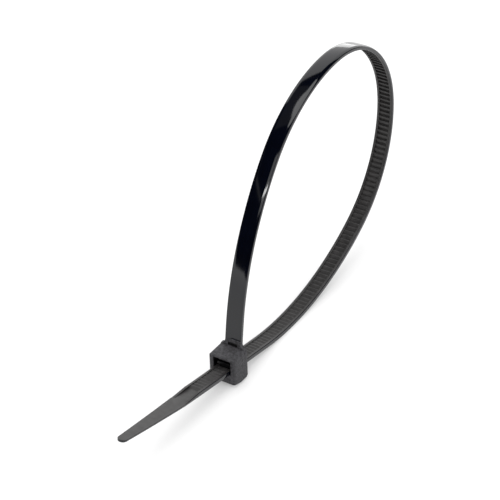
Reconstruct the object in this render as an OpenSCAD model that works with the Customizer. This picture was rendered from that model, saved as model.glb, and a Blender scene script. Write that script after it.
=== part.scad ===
// Self-locking cable tie, closed into a standing loop, moulded in one piece.
// Millimetres. X runs along the slot, from the tail's tip at low X to the loop
// at high X. Y is the width of the strap and Z is up. The origin lies under the
// middle of the head, on the surface that the head and the loop stand on.

/* [Strap] */
// Width of the strap
strap_w = 4.8; // [4:0.1:5.4]
// Thickness of the strap over its rails
strap_t = 1.2; // [1:0.05:1.5]
// Thickness of the web between the rails
web_t = 0.6; // [0.4:0.05:0.7]
// Width of each smooth rail beside the teeth
rail_w = 0.75; // [0.5:0.05:1]

/* [Teeth] */
// Distance from one tooth to the next
pitch = 1.4; // [1.2:0.05:1.8]
// Height of a tooth over the web
tooth_h = 0.5; // [0.3:0.05:0.55]
// Flat at the crest of a tooth
crest = 0.25; // [0.1:0.05:0.4]
// Plain length of strap between the head and the first tooth
plain_run = 12; // [8:1:25]
// Number of teeth past the tip of the pawl, on the tail
teeth_past = 9; // [5:1:13]

/* [Loop] */
// Reach of the loop's far side from the middle of the head
reach = 81.2; // [70:0.2:95]
// Height of the far side's outermost point
side_z = 41; // [34:0.5:48]
// Height of the loop
loop_h = 70; // [62:1:80]
// Reach of the loop's highest point
top_x = 53; // [44:0.5:62]
// Turn of the first arc out of the slot, past level
low_turn = 31; // [24:1:44]
// Turn of the first arc up the far side
side_turn = 55; // [40:1:60]
// Turn of the first arc over the top
top_turn = 49; // [35:1:60]

/* [Head] */
// Length of the head along the slot
head_l = 6.4; // [5.8:0.1:7.5]
// Width of the head
head_w = 8.1; // [7.4:0.1:9]
// Height of the head
head_h = 8.9; // [8.6:0.1:9.8]
// Rounding of the head's upper long edges
top_r = 1.1; // [0.6:0.1:1.2]
// Rounding of the head's upright edges and lower long edges
side_r = 1; // [0.6:0.1:1.2]
// Rounding of the head's upper front edge
edge_r = 0.4; // [0.2:0.1:0.6]
// Rounding of the head's lower rear edge
foot_r = 1; // [0.6:0.1:1.2]
// Length of the flat land that the head stands on, with its rounded edge
land_l = 3.5; // [3.2:0.1:4.5]
// Rise of the head's underside from the land to the front
front_lift = 0.85; // [0.3:0.05:1.1]

/* [Slot and pawl] */
// Rise of the slot towards the tail, in degrees
slot_rise = 9.5; // [8:0.5:12]
// Height of the strap's outer face at the middle of the head
slot_z = 3.5; // [3.1:0.1:3.8]
// Clearance on each side of the strap in its slot
side_gap = 0.2; // [0.1:0.05:0.3]
// Clearance under and over the strap in its slot
face_gap = 0.12; // [0.08:0.02:0.2]
// Height of the pawl chamber over the strap's outer face
chamber_h = 4; // [3.4:0.1:4.2]
// Depth of the pawl chamber past the middle of the head
chamber_back = 1.7; // [1.4:0.1:1.9]
// Width of the pawl
pawl_w = 4.2; // [3.4:0.1:4.5]
// Thickness of the pawl over its teeth
pawl_t = 0.9; // [0.6:0.1:1.1]
// Number of teeth on the pawl
pawl_teeth = 2; // [1:1:2]
// Depth of the pawl's tip behind the head's front
pawl_in = 0.8; // [0.5:0.1:1.2]
// Clearance of the pawl's teeth in the strap's teeth
mesh_gap = 0.1; // [0.06:0.01:0.14]

/* [Root] */
// Lean of the strap where it leaves the head, in degrees
root_lean = 8.5; // [4:0.5:12]
// Straight length of strap over the head
root_run = 6; // [4:0.5:10]
// Length of strap over the head in which the channel is filled
solid_run = 3; // [2:0.2:5]
// Radius of the flare where the strap grows out of the head
flare_r = 1.3; // [0.8:0.1:1.6]
// Width of the flexing pocket at the foot of the strap
pocket_w = 2.9; // [2:0.1:3.2]
// Height of the flexing pocket
pocket_h = 1.2; // [0.8:0.1:1.6]
// Depth of the flexing pocket
pocket_d = 0.3; // [0.2:0.05:0.4]

/* [Tail] */
// Length of the tail outside the head
tail_l = 45.5; // [36:0.5:60]
// Radius of the tail's upward bend
tail_r = 900; // [800:100:3000]
// Length of plain rail past the last tooth
rail_run = 2.4; // [1:0.2:5]
// Length over which the rails run out
rail_out = 5.4; // [3:0.2:8]
// Length over which the tail narrows
taper_l = 25; // [18:1:26]
// Width of the rounded tip
tip_w = 2.5; // [1.8:0.1:3.2]

/* [Hidden] */
$fn = 96;
nylon = [0.07, 0.07, 0.075];
bite = 0.05;                       // overlap that fuses one form into the next
flat_run = 2.2;                    // length of one flat of the strap's arcs
chan_w = strap_w - 2 * rail_w;     // clear width between the rails
root_x = head_l / 2 - strap_t;     // outer face of the strap at the head's top
root_sink = 0.9;                   // how far the strap's foot runs into the head

// Radii of two arcs that turn by `turn` in all, the first by `first`, and
// travel `a` along the first heading and `b` across it.
function two_radii(a, b, first, turn) =
    let (m11 = sin(first), m12 = sin(turn) - sin(first),
         m21 = 1 - cos(first), m22 = cos(first) - cos(turn),
         det = m11 * m22 - m12 * m21)
    [(a * m22 - b * m12) / det, (b * m11 - a * m21) / det];

// The low arc touches the ground and leaves the slot's line without a kink.
low_a = (1 - cos(slot_rise)) / sin(slot_rise);
low_b = slot_z * cos(slot_rise) / sin(slot_rise);
low_arc = ((reach - low_b) * cos(low_turn) - side_z * (1 - sin(low_turn)))
    / (sin(low_turn) + cos(low_turn) - 1 + low_a * cos(low_turn));
touch_x = low_arc * low_a + low_b;   // where the loop stands on the ground
belly_arc = two_radii(reach - touch_x, side_z, low_turn, 90)[1];
side_arcs = two_radii(loop_h - side_z, reach - top_x, side_turn, 90);
last_turn = 90 - root_lean;
foot_top = [root_x + root_run * sin(root_lean), head_h + root_run * cos(root_lean)];
top_arcs = two_radii(top_x - foot_top[0], loop_h - foot_top[1], top_turn, last_turn);

// The strap's outer face from the middle of the slot round to the head's top,
// one row for each stretch: its radius, or 0 for a straight one, and its turn
// in degrees, or its length.
stretches = [
    [0, (touch_x - low_arc * sin(slot_rise)) / cos(slot_rise)],
    [low_arc, slot_rise + low_turn],
    [belly_arc, 90 - low_turn],
    [side_arcs[0], side_turn],
    [side_arcs[1], 90 - side_turn],
    [top_arcs[0], top_turn],
    [top_arcs[1], last_turn - top_turn],
    [0, root_run]
];
last = len(stretches) - 1;

// A pose is [x, z, heading]; `walk` gives the pose at the end of a stretch.
function walk(p, s) = s[0] == 0
    ? [p[0] + s[1] * cos(p[2]), p[1] + s[1] * sin(p[2]), p[2]]
    : [p[0] + s[0] * (sin(p[2] + s[1]) - sin(p[2])),
       p[1] + s[0] * (cos(p[2]) - cos(p[2] + s[1])), p[2] + s[1]];
function run_of(s) = s[0] == 0 ? s[1] : s[0] * s[1] * PI / 180;
start = [0, slot_z, -slot_rise];
poses = [for (i = 0, p = start; i <= last;
              p = walk(p, stretches[i]), i = i + 1) p];
runs = [for (i = 0, d = 0; i <= last + 1;
             d = d + (i <= last ? run_of(stretches[i]) : 0), i = i + 1) d];
loop_run = runs[last + 1];

// The tail runs straight to the head's front, then in one long arc to the tip.
front_run = head_l / 2 / cos(slot_rise);
front_pose = walk(start, [0, -front_run]);
tail_end = -front_run - tail_l;

// Pose of the outer face at distance d from the slot's middle, towards the
// loop when positive and towards the tip when negative.
function part_of(r, d) = r == 0 ? [0, d] : [r, d / r * 180 / PI];
function pose_at(d) =
    d < -front_run ? walk(front_pose, part_of(tail_r, d + front_run))
    : d <= 0 ? walk(start, [0, d])
    : let (k = max([for (i = [0 : last]) if (runs[i] < d) i]))
      walk(poses[k], part_of(stretches[k][0], d - runs[k]));
// A point at distance d along the strap and depth t under its outer face
function pt(d, t) = let (p = pose_at(d)) [p[0] - t * sin(p[2]), p[1] + t * cos(p[2])];

// Distances at which the strap's outline turns: arcs in flats, straights whole
function cuts(a, b) = let (n = ceil((b - a) / flat_run))
    [for (i = [0 : n - 1]) a + (b - a) * i / n];
turns = concat(cuts(tail_end - 1, -front_run), [-front_run],
    [for (i = [1 : last]) each stretches[i][0] == 0 ? [runs[i]] : cuts(runs[i], runs[i + 1])]);
function marks(a, b) = concat([a], [for (d = turns) if (d > a + bite && d < b - bite) d], [b]);
strap_end = loop_run + root_sink;

// Tooth stations: the steep face of each looks back along the loop, so that a
// pull on the loop drives it against the pawl.
pawl_tip = -head_l / 2 + pawl_in;
first_tooth = pawl_tip - teeth_past * pitch;
tooth_count = floor((loop_run - plain_run - first_tooth) / pitch);
rail_start = first_tooth - rail_run - rail_out;
function station(i) = first_tooth + i * pitch;
function backwards(v) = [for (i = [len(v) - 1 : -1 : 0]) v[i]];

// A side view in X and Z, given its width in Y
module across(w) {
    rotate([90, 0, 0]) linear_extrude(w, center = true) children();
}

// The web: the full width of the strap, narrowed to a rounded tip at its tail
module web() {
    ds = marks(tail_end - 1, strap_end);
    color(nylon)
        difference() {
            across(strap_w)
                polygon(concat([for (d = ds) pt(d, 0)], [for (d = backwards(ds)) pt(d, web_t)]));
            tip_cut();
        }
}

// What the taper and the rounded tip leave off, seen square on
module tip_cut() {
    tip = pt(tail_end, 0)[0];
    r = tip_w / 2;
    fall = (strap_w / 2 - r) / (taper_l - r);
    linear_extrude(3 * head_h)
        difference() {
            translate([tip - 3, -strap_w / 2 - 1]) square([taper_l + 4, strap_w + 2]);
            polygon(concat(
                [for (a = [90 : 15 : 270]) [tip + r + r * cos(a), r * sin(a)]],
                [[tip + taper_l + 2, -strap_w / 2 - 2 * fall],
                 [tip + taper_l + 2, strap_w / 2 + 2 * fall]]));
        }
}

// The two rails, which run out to nothing on the tail
module rails() {
    ds = marks(rail_start + rail_out, strap_end);
    color(nylon)
        for (side = [-1, 1])
            translate([0, side * (strap_w - rail_w) / 2, 0])
                across(rail_w)
                    polygon(concat(
                        [for (d = marks(rail_start, strap_end)) pt(d, web_t / 2)],
                        [for (d = backwards(ds)) pt(d, strap_t)],
                        [pt(rail_start, web_t)]));
}

// The row of teeth between the rails, rooted half way down the web
module teeth() {
    crest_t = web_t + tooth_h;
    color(nylon)
        across(chan_w + 2 * bite)
            polygon(concat(
                [for (i = [0 : tooth_count - 1]) each [
                    pt(station(i) - pitch, web_t - bite),
                    pt(station(i) - crest, crest_t),
                    pt(station(i), crest_t),
                    pt(station(i), web_t - bite)]],
                [for (i = [tooth_count - 1 : -1 : 0]) pt(station(i), web_t / 2)],
                [pt(station(0) - pitch, web_t / 2)]));
}

// The filled end of the channel, level with the crests of the teeth
module foot() {
    ds = marks(loop_run - solid_run, strap_end);
    color(nylon)
        across(chan_w + 2 * bite)
            polygon(concat([for (d = ds) pt(d, web_t / 2)],
                           [for (d = backwards(ds)) pt(d, web_t + tooth_h)]));
}

// Pocket in the outer face at the strap's foot, where the strap flexes
module pocket() {
    translate([root_x - 1, -pocket_w / 2, head_h + 0.2])
        rotate([0, root_lean, 0])
            cube([1 + pocket_d, pocket_w, pocket_h]);
}

// Flare of the strap's foot into the head's top, on both sides
module flares() {
    color(nylon)
        for (side = [-1, 1])
            translate([root_x + bite, side * (strap_w / 2 - bite), head_h])
                rotate([90, 0, 90])
                    linear_extrude(strap_t - 2 * bite)
                        polygon(concat(
                            [[-side * bite, -0.6], [-side * bite, flare_r]],
                            [for (a = [0 : 15 : 90])
                                [side * flare_r * (1 - cos(a)), flare_r * (1 - sin(a))]],
                            [[side * flare_r, -0.6]]));
}

// A rectangle that stands on y = 0, with its corners rounded
module rounded(w, h, low_r, high_r) {
    translate([-w / 2, low_r]) square([w, h - low_r - high_r]);
    translate([-w / 2 + low_r, 0]) square([w - 2 * low_r, h / 2]);
    translate([-w / 2 + high_r, h / 2]) square([w - 2 * high_r, h / 2]);
    for (side = [-1, 1]) {
        translate([side * (w / 2 - low_r), low_r]) circle(low_r);
        translate([side * (w / 2 - high_r), h - high_r]) circle(high_r);
    }
}

// The head from the side: it stands on a land at the back, and its underside
// slants up from there to the front.
module side_view() {
    difference() {
        union() {
            rounded(head_l, head_h, foot_r, edge_r);
            translate([0, head_h / 2]) square([head_l / 2, head_h / 2]);
        }
        polygon([[-head_l / 2 - front_lift, 0], [-head_l / 2 - front_lift, front_lift],
                 [-head_l / 2, front_lift], [head_l / 2 - land_l, 0]]);
    }
}

// The head's block, rounded as seen from the front, from above and from the side
module head_block() {
    intersection() {
        translate([-head_l / 2, 0, 0])
            rotate([90, 0, 90]) linear_extrude(head_l) rounded(head_w, head_h, side_r, top_r);
        translate([-head_l / 2, 0, -1])
            linear_extrude(head_h + 2)
                rotate([0, 0, -90]) rounded(head_w, head_l, side_r, side_r);
        across(head_w + 2) side_view();
    }
}

// Frame of the slot: x along the strap towards the loop, z up from its outer face
module in_slot() {
    translate([0, 0, slot_z]) rotate([0, slot_rise, 0]) children();
}

// The passage for the strap, and the chamber over it that the pawl swings in
module slot() {
    w = strap_w + 2 * side_gap;
    in_slot() {
        translate([-head_l, -w / 2, -face_gap])
            cube([2 * head_l, w, strap_t + 2 * face_gap]);
        translate([-head_l, -w / 2, -face_gap])
            cube([head_l + chamber_back, w, chamber_h + face_gap]);
    }
}

// The pawl: a tongue hinged at the chamber's back, toothed on its underside
module pawl() {
    low = strap_t + 2 * face_gap;
    color(nylon)
        in_slot() {
            across(pawl_w)
                polygon([[chamber_back + 0.3, low + bite],
                         [pawl_tip, low + bite],
                         [pawl_tip, low + pawl_t * 0.6],
                         [pawl_tip + 0.5, low + pawl_t],
                         [chamber_back - 0.8, low + pawl_t],
                         [chamber_back + 0.3, low + pawl_t + 0.5]]);
            across(chan_w - 2 * side_gap)
                polygon(concat(
                    [for (k = [0 : pawl_teeth - 1]) let (x = pawl_tip + k * pitch) each [
                        [x + mesh_gap, low + pawl_t / 2],
                        [x + mesh_gap, web_t + mesh_gap],
                        [x + pitch - crest, web_t + tooth_h + mesh_gap]]],
                    [[pawl_tip + pawl_teeth * pitch - crest, low + pawl_t / 2]]));
        }
}

module head() {
    color(nylon)
        difference() {
            union() {
                head_block();
                flares();
            }
            slot();
        }
}

module cable_tie() {
    head();
    pawl();
    teeth();
    difference() {
        union() {
            web();
            rails();
            foot();
        }
        color(nylon) pocket();
    }
}

cable_tie();
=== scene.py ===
import math

import bmesh
import bpy
from mathutils import Matrix, Vector


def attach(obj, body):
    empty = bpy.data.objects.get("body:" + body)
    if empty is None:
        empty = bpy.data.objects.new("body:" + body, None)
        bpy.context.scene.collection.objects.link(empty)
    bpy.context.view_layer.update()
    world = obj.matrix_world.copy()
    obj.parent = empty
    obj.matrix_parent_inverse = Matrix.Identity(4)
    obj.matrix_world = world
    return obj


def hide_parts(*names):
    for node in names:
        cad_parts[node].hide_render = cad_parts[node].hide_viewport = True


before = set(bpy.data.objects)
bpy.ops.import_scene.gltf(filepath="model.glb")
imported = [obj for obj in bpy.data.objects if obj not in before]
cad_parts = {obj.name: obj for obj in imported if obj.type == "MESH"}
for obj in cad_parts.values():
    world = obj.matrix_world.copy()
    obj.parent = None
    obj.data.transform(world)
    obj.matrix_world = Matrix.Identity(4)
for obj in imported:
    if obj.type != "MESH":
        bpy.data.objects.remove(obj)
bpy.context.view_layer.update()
bpy.context.scene.view_settings.view_transform = "Standard"

# Strap
# One long tongue of black nylon, moulded flat with two smooth rails beside a
# shallow channel. It is pushed back through its own head, which bends it into
# the loop. Sizes are in millimetres along the flat strap until it is bent.
strap_w = 4.8
strap_t = 1.2
web_t = 0.6
rail_w = 0.75
chan_w = strap_w - 2 * rail_w
# the mould's two halves meet at this height, and both sides slant in from it
parting_z = 0.52
draft = 0.015
# the head, and the slot's slope and height at its middle
head_l = 6.4
head_h = 8.9
slot_rise = math.radians(9.5)
slot_z = 3.5
# the loop's furthest and highest places, and how far round each arc goes
reach = 81.2
side_z = 41.0
loop_h = 70.0
top_x = 53.0
low_turn = math.radians(31)
side_turn = math.radians(55)
top_turn = math.radians(49)
# the foot, where the strap grows out of the head's top
root_lean = math.radians(8.5)
root_run = 6.0
root_sink = 0.9
root_x = head_l / 2 - strap_t
# the free tail, with a long taper and a round tip
tail_l = 45.5
tail_r = 900.0
taper_l = 25.0
tip_w = 2.5
# the teeth go on past the pawl's tip, and the rails a little further
pitch = 1.4
pawl_in = 0.8
teeth_past = 9
smooth_l = 2.4
wedge_l = 5.4
pawl_tip = -head_l / 2 + pawl_in
first_tooth = pawl_tip - teeth_past * pitch
rail_full = first_tooth - smooth_l
rail_start = rail_full - wedge_l


def two_radii(along, across, first, turn):
    """Radii of two arcs, tangent to each other, that bridge a corner."""
    m11 = math.sin(first)
    m12 = math.sin(turn) - math.sin(first)
    m21 = 1 - math.cos(first)
    m22 = math.cos(first) - math.cos(turn)
    det = m11 * m22 - m12 * m21
    return (along * m22 - across * m12) / det, (across * m11 - along * m21) / det


# the path of the strap's outer face, as straights and arcs: radius and turn of
# an arc, or 0 and the length of a straight
quarter = math.pi / 2
low_a = (1 - math.cos(slot_rise)) / math.sin(slot_rise)
low_b = slot_z * math.cos(slot_rise) / math.sin(slot_rise)
low_arc = ((reach - low_b) * math.cos(low_turn) - side_z * (1 - math.sin(low_turn))) / (
    math.sin(low_turn) + math.cos(low_turn) - 1 + low_a * math.cos(low_turn))
touch_x = low_arc * low_a + low_b
belly_arc = two_radii(reach - touch_x, side_z, low_turn, quarter)[1]
side_arcs = two_radii(loop_h - side_z, reach - top_x, side_turn, quarter)
last_turn = quarter - root_lean
top_arcs = two_radii(top_x - root_x - root_run * math.sin(root_lean),
                     loop_h - head_h - root_run * math.cos(root_lean), top_turn, last_turn)
stretches = [
    (0, (touch_x - low_arc * math.sin(slot_rise)) / math.cos(slot_rise)),
    (low_arc, slot_rise + low_turn),
    (belly_arc, quarter - low_turn),
    (side_arcs[0], side_turn),
    (side_arcs[1], quarter - side_turn),
    (top_arcs[0], top_turn),
    (top_arcs[1], last_turn - top_turn),
    (0, root_run),
]


def walk(pose, radius, amount):
    """The pose at the end of a straight of that length, or an arc of that turn."""
    x, z, h = pose
    if radius == 0:
        return x + amount * math.cos(h), z + amount * math.sin(h), h
    return (x + radius * (math.sin(h + amount) - math.sin(h)),
            z + radius * (math.cos(h) - math.cos(h + amount)), h + amount)


front_run = head_l / 2 / math.cos(slot_rise)
slot_pose = (0.0, slot_z, -slot_rise)
poses = [slot_pose]
runs = [0.0]
for radius, amount in stretches:
    poses.append(walk(poses[-1], radius, amount))
    runs.append(runs[-1] + (amount if radius == 0 else radius * amount))
loop_run = runs[-1]
tail_end = -front_run - tail_l
foot_end = loop_run + root_sink


def strap_pose(d):
    """Place and heading of the outer face at distance d from the slot's middle."""
    if d < -front_run:
        return walk(walk(slot_pose, 0, -front_run), tail_r, (d + front_run) / tail_r)
    if d <= 0:
        return walk(slot_pose, 0, d)
    k = max(i for i in range(len(stretches)) if runs[i] < d)
    radius = stretches[k][0]
    return walk(poses[k], radius, d - runs[k] if radius == 0 else (d - runs[k]) / radius)


def close_loop(piece):
    """Bends a flat piece of the strap round its path and brings it to metres."""
    for v in piece.data.vertices:
        x, z, h = strap_pose(v.co.x)
        v.co = Vector((x - v.co.z * math.sin(h), v.co.y, z + v.co.z * math.cos(h))) / 1000


def flat_block(name, low, high):
    """A block of nylon between two corners, left open in edit mode."""
    bpy.ops.object.select_all(action="DESELECT")
    middle = [(a + b) / 2 for a, b in zip(low, high)]
    size = [b - a for a, b in zip(low, high)]
    bpy.ops.mesh.primitive_cube_add(size=1, location=middle)
    block = bpy.context.active_object
    block.name = name
    block.scale = size
    bpy.ops.object.transform_apply(location=True, rotation=True, scale=True)
    bpy.ops.object.mode_set(mode="EDIT")
    return block


def choose(piece, kind, test):
    """In edit mode, selects the vertices, edges or faces that pass the test."""
    bpy.ops.mesh.select_all(action="DESELECT")
    bpy.ops.mesh.select_mode(type={"verts": "VERT", "edges": "EDGE", "faces": "FACE"}[kind])
    mesh = bmesh.from_edit_mesh(piece.data)
    for part in getattr(mesh, kind):
        if test(part):
            part.select_set(True)
    mesh.select_flush_mode()
    bmesh.update_edit_mesh(piece.data)


def score(place, direction):
    """Scores what is selected with a line, without taking anything off."""
    bpy.ops.mesh.bisect(plane_co=place, plane_no=direction, threshold=0.00001)


def cut_across(place, direction):
    """Scores the whole mesh with a line."""
    bpy.ops.mesh.select_all(action="SELECT")
    score(place, direction)


def middle_of(edge):
    return (edge.verts[0].co + edge.verts[1].co) / 2


def runs_along(edge, axis):
    way = (edge.verts[1].co - edge.verts[0].co).normalized()
    return abs(way[axis]) > 0.9


def round_edges(radius, segments, profile=0.5):
    """Rounds the edges that are selected."""
    bpy.ops.mesh.bevel(offset=radius, segments=segments, profile=profile, affect="EDGES")


# a corner this near to a line, in millimetres, counts as lying on it
near = 0.01
strap = flat_block("strap", (tail_end, -strap_w / 2, 0), (foot_end, strap_w / 2, strap_t))
cut_across((0, 0, parting_z), (0, 0, 1))
choose(strap, "verts", lambda v: abs(v.co.z - parting_z) > near)
bpy.ops.transform.resize(value=(1, 1 - 2 * draft / strap_w, 1), center_override=(0, 0, 0))
shoulder = tail_end + taper_l
pocket_low = loop_run - 1.1
pocket_high = loop_run - 0.2
filled_from = loop_run - 3
matt_from = loop_run - 2.2
for x in (shoulder, rail_start, rail_full, filled_from, matt_from, pocket_low, pocket_high):
    cut_across((x, 0, 0), (1, 0, 0))

# the tail's end is narrowed and rounded
tip_r = 1.2
choose(strap, "verts", lambda v: v.co.x < tail_end + near)
bpy.ops.transform.resize(value=(1, tip_w / strap_w, 1), center_override=(0, 0, 0))
choose(strap, "edges", lambda e: middle_of(e).x < tail_end + near and runs_along(e, 2))
round_edges(tip_r, 7)
for y in (-chan_w / 2, chan_w / 2):
    cut_across((0, y, 0), (0, 1, 0))

# past the rails the tail is a thin smooth tongue
choose(strap, "verts", lambda v: v.co.z > strap_t - near and v.co.x < rail_start + near)
bpy.ops.transform.translate(value=(0, 0, web_t - strap_t))


def tops_channel(face, low_x, high_x):
    m = face.calc_center_median()
    return face.normal.z > 0.5 and abs(m.y) < chan_w / 2 and low_x < m.x < high_x


# the channel is pressed in between the rails, and less deep just over the head
tooth_h = 0.5
crest_z = web_t + tooth_h
choose(strap, "faces", lambda f: tops_channel(f, rail_start, filled_from))
bpy.ops.mesh.extrude_region_move()
bpy.ops.transform.resize(value=(1, 1, 0), center_override=(0, 0, web_t))
choose(strap, "faces", lambda f: tops_channel(f, filled_from, foot_end))
bpy.ops.mesh.extrude_region_move()
bpy.ops.transform.translate(value=(0, 0, crest_z - strap_t))

# the flexing pocket in the outer face, just over the head
pocket_w = 2.9
pocket_depth = 0.3
for y in (-pocket_w / 2, pocket_w / 2):
    cut_across((0, y, 0), (0, 1, 0))
choose(strap, "faces", lambda f: f.normal.z < -0.5 and abs(f.calc_center_median().y) < pocket_w / 2
       and pocket_low < f.calc_center_median().x < pocket_high)
bpy.ops.mesh.extrude_region_move()
bpy.ops.transform.translate(value=(0, 0, pocket_depth))
bpy.ops.mesh.select_all(action="SELECT")
bpy.ops.mesh.remove_doubles(threshold=0.001)

# long edges lose their sharpness, the rails' outer ones most
rail_r = 0.19
edge_r = 0.1
beside_rails = 2.0
sharp = 1.0
choose(strap, "edges", lambda e: runs_along(e, 0) and middle_of(e).z > web_t + near
       and abs(middle_of(e).y) > beside_rails)
round_edges(rail_r, 4)
choose(strap, "edges", lambda e: runs_along(e, 0) and middle_of(e).z < near
       and (abs(middle_of(e).y) > pocket_w / 2 + near or middle_of(e).x < 0)
       and e.calc_face_angle(0) > sharp)
round_edges(edge_r, 3)

# scored every so often, so that it bends smoothly
step_l = 1.2
steps = int((foot_end - tail_end) / step_l)
for i in range(1, steps):
    cut_across((tail_end + (foot_end - tail_end) * i / steps, 0, 0), (1, 0, 0))
# and along both sides of the upper loop, where it is crowned
crown_low = 50
for y in (-2.2, -1.95, 1.95, 2.2):
    choose(strap, "faces", lambda f: f.calc_center_median().x > crown_low)
    score((0, y, 0), (0, 1, 0))
bpy.ops.mesh.select_all(action="SELECT")
bpy.ops.mesh.normals_make_consistent(inside=False)
bpy.ops.object.mode_set(mode="OBJECT")

# the outer face of the upper loop is crowned towards both sides, from nothing
# at the belly, and back to nothing over the foot
crown_from = 1.25
crown_r = 2.2
crown_t = 0.5
crown_start = 60
crown_rise = 50
crown_stop = loop_run - 6
crown_fall = 30
for v in strap.data.vertices:
    past = max(0, abs(v.co.y) - crown_from)
    rise = max(0, (v.co.x - crown_start) / crown_rise)
    fall = max(0, (crown_stop - v.co.x) / crown_fall)
    low = max(0, 1 - v.co.z / crown_t)
    v.co.z += min(1, rise, fall) * low * (crown_r - math.sqrt(crown_r ** 2 - past ** 2))


# Black nylon as the mould leaves it: polished on the strap's outer face, where
# it mirrors the room in soft bands, satin in the channel and matt at the head.
def nylon(name, colour, roughness, mottle, spread, grain, depth, wave):
    """One finish, or painted shade. Mottle and grain are scales, depth and wave heights in metres.
    """
    made = bpy.data.materials.new(name)
    made.use_nodes = True
    nodes = made.node_tree.nodes
    links = made.node_tree.links
    shader = nodes["Principled BSDF"]
    shader.inputs["IOR"].default_value = 1.5
    place = nodes.new("ShaderNodeTexCoord")

    def noise(scale, detail):
        texture = nodes.new("ShaderNodeTexNoise")
        texture.inputs["Scale"].default_value = scale
        texture.inputs["Detail"].default_value = detail
        links.new(place.outputs["Object"], texture.inputs["Vector"])
        return texture.outputs["Fac"]

    def relief(height, distance):
        bump = nodes.new("ShaderNodeBump")
        bump.inputs["Strength"].default_value = 1.0
        bump.inputs["Distance"].default_value = distance
        links.new(height, bump.inputs["Height"])
        return bump

    # mottled colour, a little lighter here and there
    tone = nodes.new("ShaderNodeValToRGB")
    dark, light = tone.color_ramp.elements
    dark.position = 0.3
    dark.color = [c * (1 - spread) for c in colour] + [1]
    light.position = 0.7
    light.color = [c * (1 + spread) for c in colour] + [1]
    links.new(noise(mottle, 4), tone.inputs["Fac"])
    links.new(tone.outputs["Color"], shader.inputs["Base Color"])
    # gloss that varies with the mould's finish
    gloss = nodes.new("ShaderNodeMapRange")
    gloss.inputs["To Min"].default_value = roughness * 0.85
    gloss.inputs["To Max"].default_value = roughness * 1.15
    links.new(noise(400, 5), gloss.inputs["Value"])
    links.new(gloss.outputs["Result"], shader.inputs["Roughness"])
    # fine grain, and under it the slow wave of a moulded face
    swell = relief(noise(120, 1), wave)
    fine = relief(noise(grain, 3), depth)
    links.new(swell.outputs["Normal"], fine.inputs["Normal"])
    links.new(fine.outputs["Normal"], shader.inputs["Normal"])
    return made


polished = nylon("polished_nylon", (0.0006, 0.001, 0.003), roughness=0.08, mottle=220,
                 spread=0.25, grain=5000, depth=0.000001, wave=0.00002)
satin = nylon("satin_nylon", (0.021, 0.0195, 0.0195), roughness=0.5, mottle=600,
              spread=0.3, grain=6000, depth=0.000006, wave=0.00001)
matt = nylon("matt_nylon", (0.036, 0.035, 0.039), roughness=0.7, mottle=1500,
             spread=0.5, grain=2000, depth=0.0004, wave=0.00003)
# painted shade: a near-black nylon for places that lie in shade, which are the pocket, the slot's
# inside and the pawl
painted_shade = nylon("painted_shade_nylon", (0.002, 0.002, 0.0025), roughness=0.4, mottle=220,
               spread=0.25, grain=5000, depth=0.000001, wave=0.00001)
finishes_and_painted_shade = [polished, satin, matt, painted_shade]
for finish_or_shade in finishes_and_painted_shade:
    strap.data.materials.append(finish_or_shade)
for face in strap.data.polygons:
    m = face.center
    by_pocket = pocket_low - 0.1 < m.x < pocket_high + 0.1 and abs(m.y) < pocket_w / 2 + near
    in_channel = abs(m.y) < chan_w / 2 + near and m.z > web_t - near
    # the pocket's faces get painted shade: near black, for the shade inside the pocket
    if by_pocket and near < m.z < pocket_depth + near:
        face.material_index = finishes_and_painted_shade.index(painted_shade)
    elif m.x > matt_from:
        face.material_index = finishes_and_painted_shade.index(matt)
    elif face.normal.z > 0.95 or in_channel:
        face.material_index = finishes_and_painted_shade.index(satin)
close_loop(strap)
bpy.ops.object.select_all(action="DESELECT")
strap.select_set(True)
bpy.context.view_layer.objects.active = strap
smooth_below = math.radians(28)
bpy.ops.object.shade_smooth_by_angle(angle=smooth_below)
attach(strap, "root")
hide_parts("cable_tie")

# Teeth
# The row of small ramps in the channel, of the same nylon and moulded with the
# strap. Each one's steep face looks back along the loop, and its slope falls
# towards the tip, so that the strap runs in and not out.
crest = 0.25
crest_r = 0.05
toothless_l = 12
lap = 0.1
rail_lap = 0.02
tooth_count = int((loop_run - toothless_l - first_tooth) / pitch)
teeth = flat_block("teeth", (first_tooth - pitch, -chan_w / 2 - rail_lap, web_t - lap),
                   (first_tooth, chan_w / 2 + rail_lap, crest_z))
choose(teeth, "verts", lambda v: v.co.z > web_t and v.co.x < first_tooth - near)
bpy.ops.transform.translate(value=(pitch - crest, 0, 0))
choose(teeth, "edges", lambda e: middle_of(e).z > crest_z - near and runs_along(e, 1))
round_edges(crest_r, 2)
bpy.ops.object.mode_set(mode="OBJECT")
row = teeth.modifiers.new("row", "ARRAY")
row.use_relative_offset = False
row.use_constant_offset = True
row.constant_offset_displace = (pitch, 0, 0)
row.count = tooth_count
bpy.ops.object.modifier_apply(modifier="row")
close_loop(teeth)
bpy.ops.object.shade_smooth_by_angle(angle=smooth_below)
teeth.data.materials.append(satin)
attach(teeth, "root")
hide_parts("cable_tie")

# Head
# The square box at the strap's foot, moulded in one with it in the same nylon,
# with a fine matt grain. A sloping slot runs through it, wide open in front
# over the strap. It stands on a flat land at its rear.
head_w = 8.1
front_lift = 0.85
land_l = 3.5
head = flat_block("head", (-head_l / 2, -head_w / 2, 0), (head_l / 2, head_w / 2, head_h))
cut_across((head_l / 2 - land_l, 0, 0), (1, 0, 0))
choose(head, "verts", lambda v: v.co.x < -head_l / 2 + near and v.co.z < near)
bpy.ops.transform.translate(value=(0, 0, front_lift))
bpy.ops.object.mode_set(mode="OBJECT")
to_slot = Matrix.Translation((0, 0, slot_z)) @ Matrix.Rotation(slot_rise, 4, "Y")
to_metres = Matrix.Scale(0.001, 4)


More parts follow.
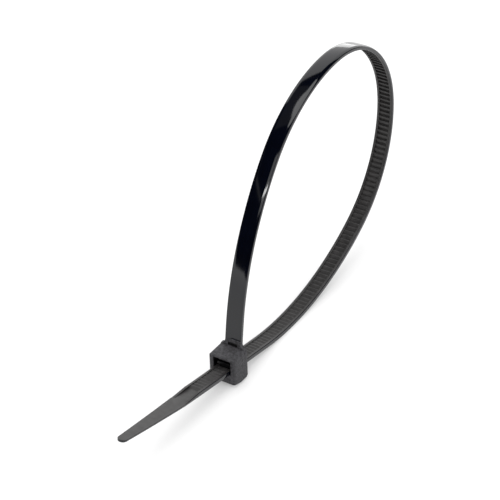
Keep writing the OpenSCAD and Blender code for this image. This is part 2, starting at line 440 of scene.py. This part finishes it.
def cut_slot(piece, low, high):
    """Cuts a block out of the piece, tilted with the slot."""
    cutter = flat_block("cutter", low, high)
    bpy.ops.object.mode_set(mode="OBJECT")
    cutter.data.transform(to_slot)
    cut = piece.modifiers.new("cut", "BOOLEAN")
    cut.operation = "DIFFERENCE"
    cut.solver = "EXACT"
    cut.object = cutter
    bpy.ops.object.select_all(action="DESELECT")
    piece.select_set(True)
    bpy.context.view_layer.objects.active = piece
    bpy.ops.object.modifier_apply(modifier="cut")
    bpy.data.objects.remove(cutter)


# the strap's passage, and over it the chamber that the pawl swings in
side_gap = 0.2
face_gap = 0.12
chamber_back = 1.7
chamber_top = 4.0
slot_w = strap_w + 2 * side_gap
cut_slot(head, (-head_l, -slot_w / 2, -face_gap), (head_l, slot_w / 2, strap_t + face_gap))
cut_slot(head, (-head_l, -slot_w / 2, -face_gap), (chamber_back, slot_w / 2, chamber_top))

# each edge is rounded by its own share of the widest radius
widest = 1.1
side_share = 0.9
front_share = 0.36
mouth_share = 0.14
back_share = 0.1
fold = 0.5
bpy.ops.object.mode_set(mode="EDIT")
mesh = bmesh.from_edit_mesh(head.data)
weight = mesh.edges.layers.float.new("bevel_weight_edge")
for edge in mesh.edges:
    m = middle_of(edge)
    on_side = abs(abs(m.y) - head_w / 2) < near
    on_front = abs(m.x + head_l / 2) < near
    on_back = abs(m.x - head_l / 2) < near
    on_top = m.z > head_h - near
    folded = edge.calc_face_angle(0) > fold
    if on_side and on_top:
        edge[weight] = 1.0
    elif (on_side and folded) or (on_back and m.z < near):
        edge[weight] = side_share
    elif on_front and (on_top or m.z < front_lift + near):
        edge[weight] = front_share
    elif on_back and on_top:
        edge[weight] = back_share
    elif on_front and folded:
        edge[weight] = mouth_share
bmesh.update_edit_mesh(head.data)
bpy.ops.object.mode_set(mode="OBJECT")
soft_edges = head.modifiers.new("soft_edges", "BEVEL")
soft_edges.limit_method = "WEIGHT"
soft_edges.width = widest
soft_edges.segments = 5
soft_edges.use_clamp_overlap = False
bpy.ops.object.modifier_apply(modifier="soft_edges")

# deep in the slot the nylon lies in the dark, so it gets painted shade: near black, and without
# the head's grain
dark_from = -3.0
dark_low = 2.6
dark_high = 7.5
head.data.materials.append(matt)
head.data.materials.append(painted_shade)
for face in head.data.polygons:
    m = face.center
    inside = abs(m.y) < slot_w / 2 + 2 * near and m.x > dark_from
    if inside and dark_low < m.z < dark_high:
        face.material_index = 1
head.data.transform(to_metres)
bpy.ops.object.shade_smooth_by_angle(angle=math.radians(30))
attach(head, "root")
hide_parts("cable_tie")

# Flares
# The strap's foot widens into the head's top on both sides in a hollow curve,
# so that it doesn't tear there. The flares are moulded with the head, and have
# its matt grain.
flare_r = 1.25
flare_lap = 0.05
flare_sink = 0.2
hollow = 0.086
for side in (-1, 1):
    inner = side * (strap_w / 2 - flare_lap)
    outer = side * (strap_w / 2 + flare_r)
    flare = flat_block("flare", (root_x + flare_lap, min(inner, outer), head_h - flare_sink),
                       (head_l / 2 - flare_lap, max(inner, outer), head_h + flare_r))
    choose(flare, "edges", lambda e: runs_along(e, 0)
           and middle_of(e).z > head_h + flare_r - near
           and abs(middle_of(e).y) > strap_w / 2 + flare_r - near)
    round_edges(flare_r - near, 6, hollow)
    bpy.ops.object.mode_set(mode="OBJECT")
    flare.data.transform(to_metres)
    bpy.ops.object.shade_smooth_by_angle(angle=math.radians(35))
    flare.data.materials.append(matt)
    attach(flare, "root")
    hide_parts("cable_tie")

# Pawl
# The tongue inside the head, moulded with it. It grows out of the chamber's
# back, where it bends, and has two teeth on its underside. Only its tip is
# seen, as a thin line in the dark opening.
pawl_w = 4.2
pawl_t = 0.9
pawl_r = 0.18
pawl_teeth = 2
mesh_gap = 0.1
pawl_low = strap_t + 2 * face_gap
spur_w = chan_w - 2 * side_gap
pawl = flat_block("pawl", (pawl_tip, -pawl_w / 2, pawl_low),
                  (chamber_back + lap, pawl_w / 2, pawl_low + pawl_t))
choose(pawl, "edges", lambda e: middle_of(e).x < pawl_tip + near and runs_along(e, 1))
round_edges(pawl_r, 3)
bpy.ops.object.mode_set(mode="OBJECT")
for k in range(pawl_teeth):
    start = pawl_tip + k * pitch
    spur = flat_block("spur", (start + mesh_gap, -spur_w / 2, web_t + mesh_gap),
                      (start + pitch - crest, spur_w / 2, pawl_low + lap))
    choose(spur, "verts", lambda v: v.co.z < pawl_low and v.co.x > start + pitch / 2)
    bpy.ops.transform.translate(value=(0, 0, tooth_h))
    bpy.ops.object.mode_set(mode="OBJECT")
    bpy.ops.object.select_all(action="DESELECT")
    spur.select_set(True)
    pawl.select_set(True)
    bpy.context.view_layer.objects.active = pawl
    bpy.ops.object.join()
pawl.data.transform(to_metres @ to_slot)
# the pawl gets painted shade: near black, as it lies in the dark inside the head
pawl.data.materials.append(painted_shade)
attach(pawl, "root")
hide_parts("cable_tie")

# Floor
# The white table that the tie stands on. The lamps light it, and a glow that
# only the camera and the nylon's mirror images see brings it up to white.
# Distances from here on are in metres.
floor_size = 4
paper_white = 0.55
glow_near = 0.26
glow_far = 0.95
near_end = 0.2
far_end = 1.0
bpy.ops.object.select_all(action="DESELECT")
bpy.ops.mesh.primitive_plane_add(size=floor_size, location=(0, 0, 0))
floor = bpy.context.active_object
floor.name = "floor"
paper = bpy.data.materials.new("white_table")
paper.use_nodes = True
nodes = paper.node_tree.nodes
links = paper.node_tree.links
nodes.clear()
shade = nodes.new("ShaderNodeBsdfDiffuse")
shade.inputs["Color"].default_value = (paper_white, paper_white, paper_white, 1)
# the lamps' light falls off on the far table, and the glow makes up for it
place = nodes.new("ShaderNodeTexCoord")
far = nodes.new("ShaderNodeVectorMath")
far.operation = "LENGTH"
rise = nodes.new("ShaderNodeMapRange")
rise.inputs["From Min"].default_value = near_end
rise.inputs["From Max"].default_value = far_end
rise.inputs["To Min"].default_value = glow_near
rise.inputs["To Max"].default_value = glow_far
links.new(place.outputs["Object"], far.inputs["Vector"])
links.new(far.outputs["Value"], rise.inputs["Value"])
seen = nodes.new("ShaderNodeLightPath")
direct = nodes.new("ShaderNodeMath")
direct.operation = "MAXIMUM"
links.new(seen.outputs["Is Camera Ray"], direct.inputs[0])
links.new(seen.outputs["Is Glossy Ray"], direct.inputs[1])
level = nodes.new("ShaderNodeMath")
level.operation = "MULTIPLY"
links.new(direct.outputs["Value"], level.inputs[0])
links.new(rise.outputs["Result"], level.inputs[1])
glow = nodes.new("ShaderNodeEmission")
glow.inputs["Color"].default_value = (1, 1, 1, 1)
links.new(level.outputs["Value"], glow.inputs["Strength"])
both = nodes.new("ShaderNodeAddShader")
out = nodes.new("ShaderNodeOutputMaterial")
links.new(shade.outputs["BSDF"], both.inputs[0])
links.new(glow.outputs["Emission"], both.inputs[1])
links.new(both.outputs["Shader"], out.inputs["Surface"])
floor.data.materials.append(paper)

# Room
# The white room behind the table. It is white to the camera and fills the
# shadows, but the polished nylon mirrors next to nothing of it.
seen_white = 1.0
mirrored = 0.012
filling = 0.9
world = bpy.data.worlds.new("room")
bpy.context.scene.world = world
world.use_nodes = True
nodes = world.node_tree.nodes
links = world.node_tree.links
sky = nodes["Background"]
sky.inputs["Color"].default_value = (1, 1, 1, 1)
seen = nodes.new("ShaderNodeLightPath")
fill = nodes.new("ShaderNodeMapRange")
fill.inputs["To Min"].default_value = mirrored
fill.inputs["To Max"].default_value = filling
level = nodes.new("ShaderNodeMix")
level.data_type = "FLOAT"
level.inputs["B"].default_value = seen_white
links.new(seen.outputs["Is Diffuse Ray"], fill.inputs["Value"])
links.new(fill.outputs["Result"], level.inputs["A"])
links.new(seen.outputs["Is Camera Ray"], level.inputs["Factor"])
links.new(level.outputs["Result"], sky.inputs["Strength"])


# Lamps
# A round softbox overhead lights the table, and a tall one stands behind the
# tie: the strap mirrors it at the top of the loop and along the tail. Narrow
# ones give the bright band and the glint halfway up.
def softbox(name, place, aim, size, watts):
    lamp = bpy.data.lights.new(name, "AREA")
    lamp.shape = "RECTANGLE"
    lamp.size = size[0]
    lamp.size_y = size[1]
    lamp.energy = watts
    holder = bpy.data.objects.new(name, lamp)
    bpy.context.scene.collection.objects.link(holder)
    holder.location = place
    holder.rotation_euler = (Vector(aim) - Vector(place)).to_track_quat("-Z", "Y").to_euler()
    return lamp


loop_low = (0.03, 0, 0.05)
loop_front = (0.02, 0, 0.045)
overhead = softbox("overhead", (0.02, 0.03, 0.85), (0.02, 0, 0), size=(0.62, 0.62), watts=2.6)
overhead.shape = "DISK"
softbox("back_wall", (0.84, 0.62, 0.52), (0.03, 0, 0.1), size=(1.6, 1.25), watts=8.2)
softbox("far_low", (0.94, 0.46, 0.13), (0.05, 0, 0.07), size=(0.3, 0.24), watts=0.5)
softbox("ceiling", (-0.01, 0.52, 0.92), loop_low, size=(0.6, 0.4), watts=0.1)
softbox("front", (-0.133, -0.609, 0.54), loop_low, size=(0.75, 0.4), watts=2.3)
softbox("front_left", (-0.68, -0.16, 0.56), loop_low, size=(0.4, 0.4), watts=0.7)
softbox("spot", (-0.56, -0.1, 0.41), loop_front, size=(0.36, 0.04), watts=0.6)
softbox("window", (-0.5, 0.52, 0.44), loop_front, size=(0.7, 0.024), watts=0.018)

# Camera
# At the photograph's angle: from the front left, looking down on the head from
# about 0.6 m, with a long lens and a slight roll.
eye = bpy.data.cameras.new("camera")
eye.lens = 170.0
eye.sensor_width = 36
eye.sensor_fit = "HORIZONTAL"
eye.clip_start = 0.01
eye.clip_end = 20
camera = bpy.data.objects.new("camera", eye)
bpy.context.scene.collection.objects.link(camera)
stand = Vector((-0.39683, -0.27535, 0.3775))
right = Vector((0.5407, -0.8406, -0.0306)).normalized()
ahead = Vector((0.6799, 0.4582, -0.5726)).normalized()
up = right.cross(ahead).normalized()
right = ahead.cross(up).normalized()
camera.matrix_world = Matrix((
    (right.x, up.x, -ahead.x, stand.x),
    (right.y, up.y, -ahead.y, stand.y),
    (right.z, up.z, -ahead.z, stand.z),
    (0, 0, 0, 1)))
bpy.context.scene.camera = camera
